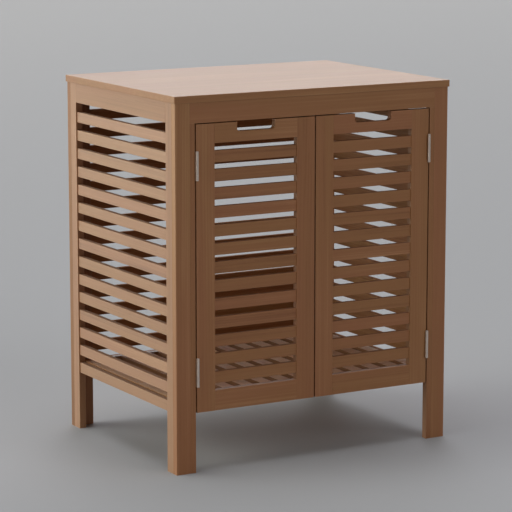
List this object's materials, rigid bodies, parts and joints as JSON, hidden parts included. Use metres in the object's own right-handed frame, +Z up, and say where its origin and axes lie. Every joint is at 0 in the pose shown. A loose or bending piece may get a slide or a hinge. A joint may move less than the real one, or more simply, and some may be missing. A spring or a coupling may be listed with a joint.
{
  "type": "slatted door cabinet",
  "caption": "Free-standing wooden storage cabinet on four legs, with slatted sides, back and bottom shelf and a pair of hinged slatted doors that open with finger notches.",
  "frame": {"origin": "on the floor, at the middle of the footprint of the four legs", "axes": "+X to the right when the doors are faced, +Y from the doors to the back, +Z up"},
  "size_m": [0.6048, 0.4625, 0.712],
  "materials": {
    "wood_top": "satin oiled, grain along the width",
    "wood_frame": "satin oiled, grain along each board",
    "wood_door": "satin oiled, grain along each board",
    "wood_slats": "satin oiled, grain along each slat",
    "wood_dowel": "bare turned dowel",
    "steel": "satin zinc plate",
    "catch_plastic": "matt brown",
    "magnet": "dull ceramic magnet with pole faces"
  },
  "bodies": {
    "cabinet": {"back_slats": "wood_slats", "back_top_rail": "wood_frame", "catch_screws": "steel", "corner_dowels": "wood_dowel", "front_top_rail": "wood_frame", "hinge_frame_screws": "steel", "left_back_post": "wood_frame", "left_catch": "catch_plastic", "left_catch_magnet": "magnet", "left_front_post": "wood_frame", "left_front_stile": "wood_frame", "left_hinge_strip": "wood_frame", "left_lower_hinge_frame_leaf": "steel", "left_lower_hinge_pin": "steel", "left_rear_stile": "wood_frame", "left_side_rail": "wood_frame", "left_side_slats": "wood_slats", "left_top_cleat": "wood_frame", "left_upper_hinge_frame_leaf": "steel", "left_upper_hinge_pin": "steel", "right_back_post": "wood_frame", "right_catch": "catch_plastic", "right_catch_magnet": "magnet", "right_front_post": "wood_frame", "right_front_stile": "wood_frame", "right_hinge_strip": "wood_frame", "right_lower_hinge_frame_leaf": "steel", "right_lower_hinge_pin": "steel", "right_rear_stile": "wood_frame", "right_side_rail": "wood_frame", "right_side_slats": "wood_slats", "right_top_cleat": "wood_frame", "right_upper_hinge_frame_leaf": "steel", "right_upper_hinge_pin": "steel", "shelf_bearer_screws": "steel", "shelf_front_bearer": "wood_frame", "shelf_rear_bearer": "wood_frame", "shelf_slats": "wood_slats", "top_cleat_screws": "steel", "top_panel": "wood_top"},
    "left_door": {"left_door_bottom_rail": "wood_door", "left_door_hinge_stile": "wood_door", "left_door_lower_hinge_leaf": "steel", "left_door_meeting_stile": "wood_door", "left_door_screws": "steel", "left_door_slats": "wood_slats", "left_door_strike_plate": "steel", "left_door_top_rail": "wood_door", "left_door_upper_hinge_leaf": "steel"},
    "right_door": {"right_door_bottom_rail": "wood_door", "right_door_hinge_stile": "wood_door", "right_door_lower_hinge_leaf": "steel", "right_door_meeting_stile": "wood_door", "right_door_screws": "steel", "right_door_slats": "wood_slats", "right_door_strike_plate": "steel", "right_door_top_rail": "wood_door", "right_door_upper_hinge_leaf": "steel"}
  },
  "joints": [
    {"name": "left_door_hinge", "type": "hinge", "parent": "cabinet", "child": "left_door", "pos_m": [-0.2559, -0.23015, 0.3868], "axis": [0, 0, -1], "range_deg": [0, 180]},
    {"name": "right_door_hinge", "type": "hinge", "parent": "cabinet", "child": "right_door", "pos_m": [0.2559, -0.23015, 0.3868], "axis": [0, 0, 1], "range_deg": [0, 180]}
  ]
}
